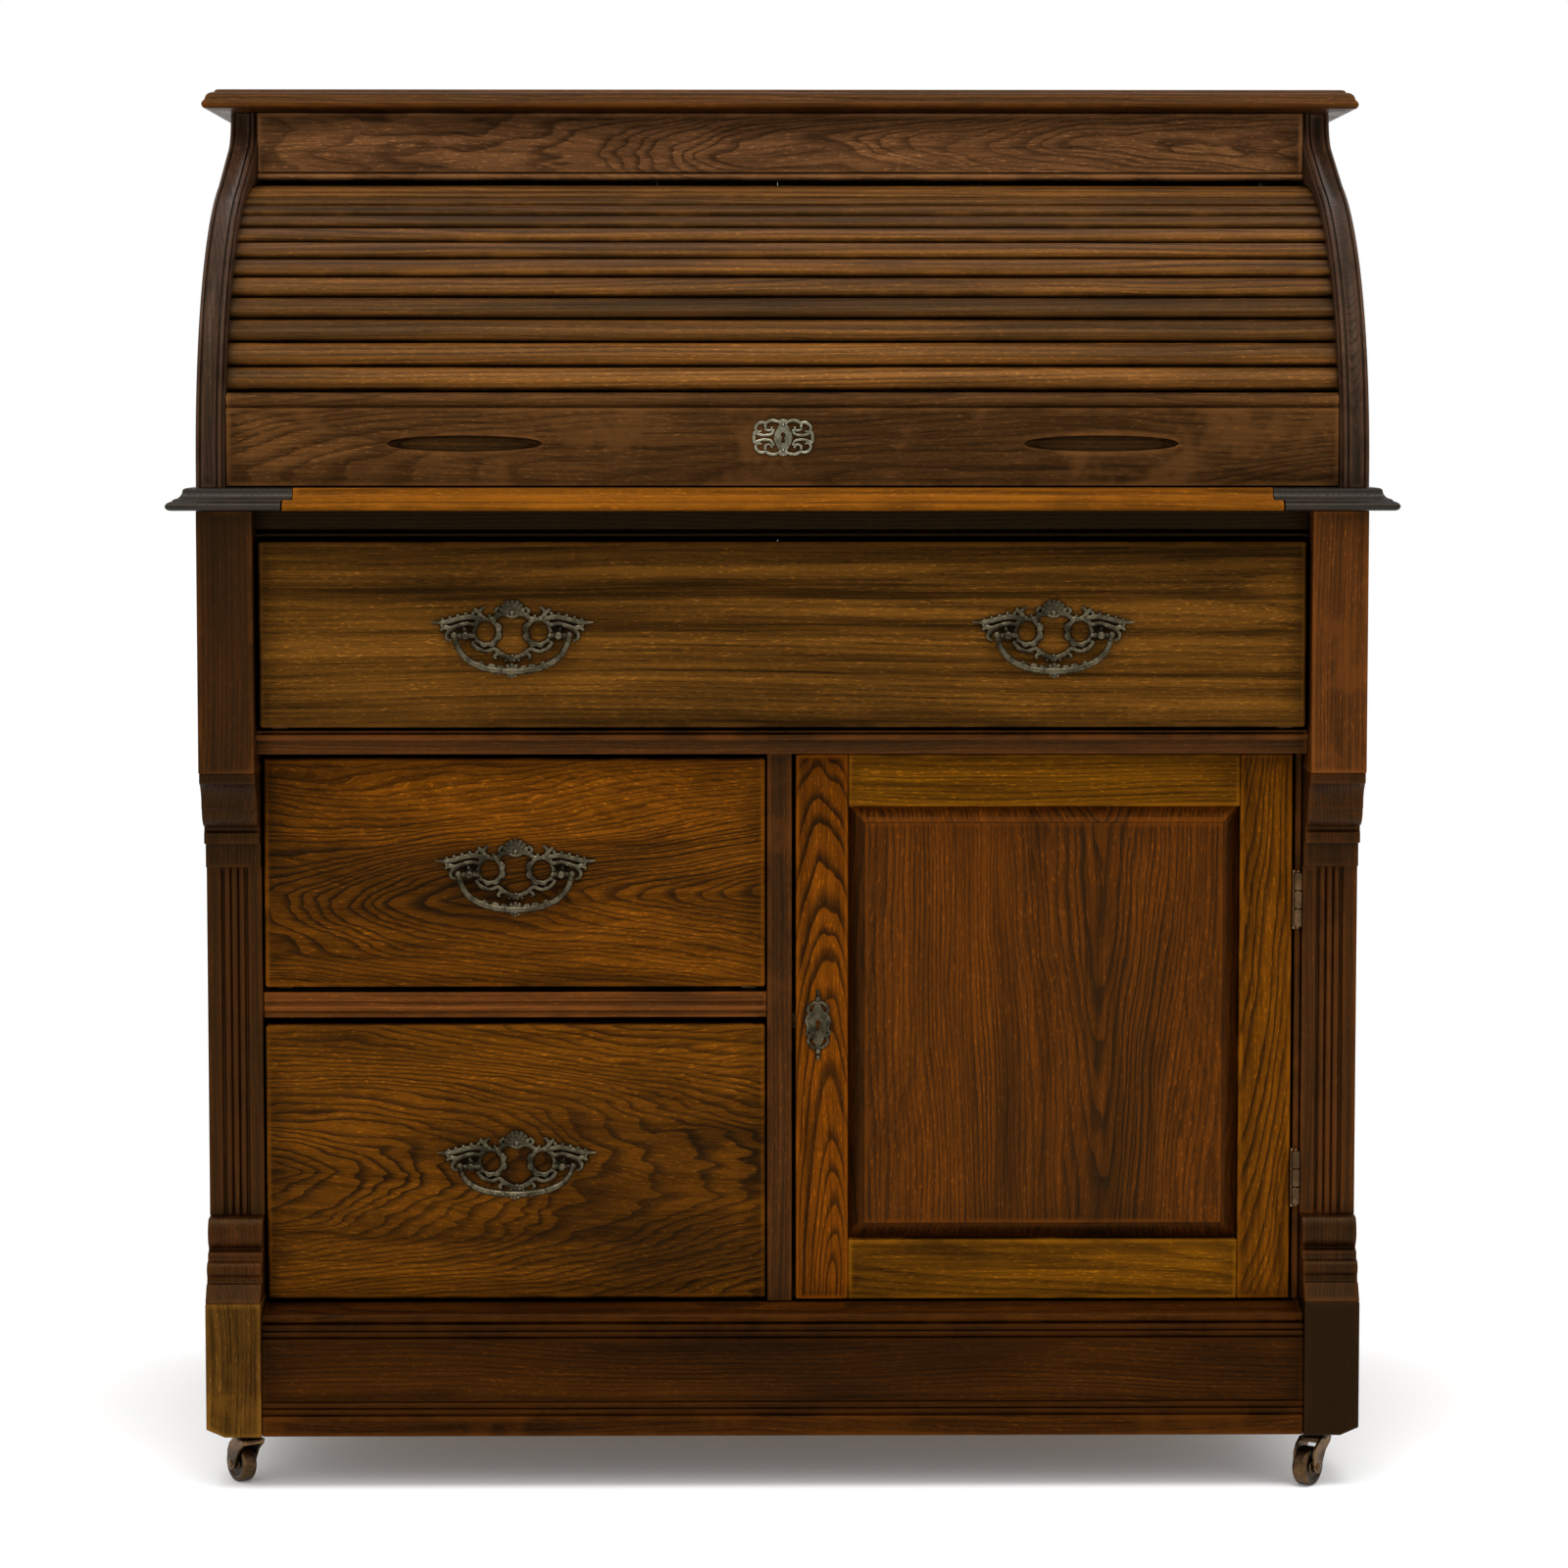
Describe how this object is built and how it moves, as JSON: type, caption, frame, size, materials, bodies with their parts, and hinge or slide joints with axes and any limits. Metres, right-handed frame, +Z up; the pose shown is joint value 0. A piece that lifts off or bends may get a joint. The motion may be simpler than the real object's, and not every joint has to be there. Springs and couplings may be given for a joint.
{
  "type": "roll top desk",
  "caption": "Small roll top desk on casters: S-shaped sides with a tambour curtain, a pull-out writing slide, a wide drawer, side drawers with bail pulls and a panelled cupboard door.",
  "frame": {"origin": "middle of the plan, on the floor under the casters", "axes": "+X to the sitter's right as they face the desk, -Y is the front, +Z up"},
  "size_m": [0.92, 0.56, 1.08],
  "materials": {
    "frame_wood": "aged satin varnish",
    "dark_wood": "dark satin varnish",
    "frieze_wood": "satin varnish over figured grain",
    "slide_wood": "satin varnish",
    "tambour_wood": "satin varnish",
    "drawer_wood": "satin varnish over bold open grain",
    "inner_wood": "bare wood, dulled with age",
    "aged_brass": "aged, dull silvery olive",
    "caster_brass": "aged brown"
  },
  "bodies": {
    "root": {"front_post_left": "frame_wood", "front_post_right": "frame_wood", "rear_post_left": "frame_wood", "rear_post_right": "frame_wood", "side_panel_left": "frame_wood", "side_panel_right": "frame_wood", "lower_back_panel": "inner_wood", "plinth": "frame_wood", "bottom_board": "inner_wood", "top_drawer_rail": "frame_wood", "left_drawer_rail": "frame_wood", "partition": "frame_wood", "cupboard_shelf": "inner_wood", "under_desk_rail": "frame_wood", "desk_cap_left": "dark_wood", "desk_cap_right": "dark_wood", "desk_floor": "inner_wood", "roll_side_left": "dark_wood", "roll_side_right": "dark_wood", "frieze_board": "frieze_wood", "upper_back_panel": "inner_wood", "top_board": "frame_wood", "gallery": "inner_wood"},
    "writing_slide": {"writing_slide": "slide_wood"},
    "tambour": {"tambour_curtain": "tambour_wood", "lift_rail": "tambour_wood", "tambour_escutcheon": "aged_brass"},
    "top_drawer": {"top_drawer_front": "drawer_wood", "top_drawer_box": "inner_wood", "top_drawer_bottom": "inner_wood", "pull_plate_top_left": "aged_brass", "pull_plate_top_right": "aged_brass"},
    "upper_left_drawer": {"upper_left_drawer_front": "drawer_wood", "upper_left_drawer_box": "inner_wood", "upper_left_drawer_bottom": "inner_wood", "pull_plate_upper": "aged_brass"},
    "lower_left_drawer": {"lower_left_drawer_front": "drawer_wood", "lower_left_drawer_box": "inner_wood", "lower_left_drawer_bottom": "inner_wood", "pull_plate_lower": "aged_brass"},
    "bail_top_left": {"pull_bail_top_left": "aged_brass"},
    "bail_top_right": {"pull_bail_top_right": "aged_brass"},
    "bail_upper": {"pull_bail_upper": "aged_brass"},
    "bail_lower": {"pull_bail_lower": "aged_brass"},
    "door": {"door_stile_lock": "drawer_wood", "door_stile_hinge": "drawer_wood", "door_rail_top": "drawer_wood", "door_rail_bottom": "drawer_wood", "door_panel": "drawer_wood", "door_escutcheon": "aged_brass", "door_hinge_upper": "aged_brass", "door_hinge_lower": "aged_brass"},
    "caster_front_left": {"caster_fork_front_left": "caster_brass"},
    "wheel_front_left": {"caster_wheel_front_left": "caster_brass"},
    "caster_front_right": {"caster_fork_front_right": "caster_brass"},
    "wheel_front_right": {"caster_wheel_front_right": "caster_brass"},
    "caster_rear_left": {"caster_fork_rear_left": "caster_brass"},
    "wheel_rear_left": {"caster_wheel_rear_left": "caster_brass"},
    "caster_rear_right": {"caster_fork_rear_right": "caster_brass"},
    "wheel_rear_right": {"caster_wheel_rear_right": "caster_brass"}
  },
  "joints": [
    {"name": "slide_pull", "type": "slide", "parent": "root", "child": "writing_slide", "axis": [0, -1, 0], "range_m": [0, 0.22]},
    {"name": "tambour_roll", "type": "hinge", "parent": "root", "child": "tambour", "pos_m": [0, -0.023, 0.78], "axis": [-1, 0, 0], "range_deg": [0, 65]},
    {"name": "top_drawer_pull", "type": "slide", "parent": "root", "child": "top_drawer", "axis": [0, -1, 0], "range_m": [0, 0.32]},
    {"name": "upper_left_drawer_pull", "type": "slide", "parent": "root", "child": "upper_left_drawer", "axis": [0, -1, 0], "range_m": [0, 0.3]},
    {"name": "lower_left_drawer_pull", "type": "slide", "parent": "root", "child": "lower_left_drawer", "axis": [0, -1, 0], "range_m": [0, 0.3]},
    {"name": "bail_swing_top_left", "type": "hinge", "parent": "top_drawer", "child": "bail_top_left", "pos_m": [-0.204, -0.255, 0.656], "axis": [-1, 0, 0], "range_deg": [0, 85]},
    {"name": "bail_swing_top_right", "type": "hinge", "parent": "top_drawer", "child": "bail_top_right", "pos_m": [0.204, -0.255, 0.656], "axis": [-1, 0, 0], "range_deg": [0, 85]},
    {"name": "bail_swing_upper", "type": "hinge", "parent": "upper_left_drawer", "child": "bail_upper", "pos_m": [-0.204, -0.223, 0.472], "axis": [-1, 0, 0], "range_deg": [0, 85]},
    {"name": "bail_swing_lower", "type": "hinge", "parent": "lower_left_drawer", "child": "bail_lower", "pos_m": [-0.204, -0.223, 0.247], "axis": [-1, 0, 0], "range_deg": [-50, 35]},
    {"name": "door_swing", "type": "hinge", "parent": "root", "child": "door", "pos_m": [0.394, -0.2175, 0.35], "axis": [0, 0, 1], "range_deg": [0, 95]},
    {"name": "caster_swivel_front_left", "type": "hinge", "parent": "root", "child": "caster_front_left", "pos_m": [-0.411, -0.219, 0.04], "axis": [0, 0, 1], "continuous": true},
    {"name": "caster_roll_front_left", "type": "hinge", "parent": "caster_front_left", "child": "wheel_front_left", "pos_m": [-0.41788, -0.20917, 0.015], "axis": [-0.8192, -0.5736, 0], "continuous": true},
    {"name": "caster_swivel_front_right", "type": "hinge", "parent": "root", "child": "caster_front_right", "pos_m": [0.411, -0.219, 0.04], "axis": [0, 0, 1], "continuous": true},
    {"name": "caster_roll_front_right", "type": "hinge", "parent": "caster_front_right", "child": "wheel_front_right", "pos_m": [0.40378, -0.22858, 0.015], "axis": [0.7986, -0.6018, 0], "continuous": true},
    {"name": "caster_swivel_rear_left", "type": "hinge", "parent": "root", "child": "caster_rear_left", "pos_m": [-0.411, 0.24, 0.04], "axis": [0, 0, 1], "continuous": true},
    {"name": "caster_roll_rear_left", "type": "hinge", "parent": "caster_rear_left", "child": "wheel_rear_left", "pos_m": [-0.42019, 0.24771, 0.015], "axis": [-0.6428, -0.766, 0], "continuous": true},
    {"name": "caster_swivel_rear_right", "type": "hinge", "parent": "root", "child": "caster_rear_right", "pos_m": [0.411, 0.24, 0.04], "axis": [0, 0, 1], "continuous": true},
    {"name": "caster_roll_rear_right", "type": "hinge", "parent": "caster_rear_right", "child": "wheel_rear_right", "pos_m": [0.39972, 0.2441, 0.015], "axis": [-0.342, -0.9397, 0], "continuous": true}
  ]
}
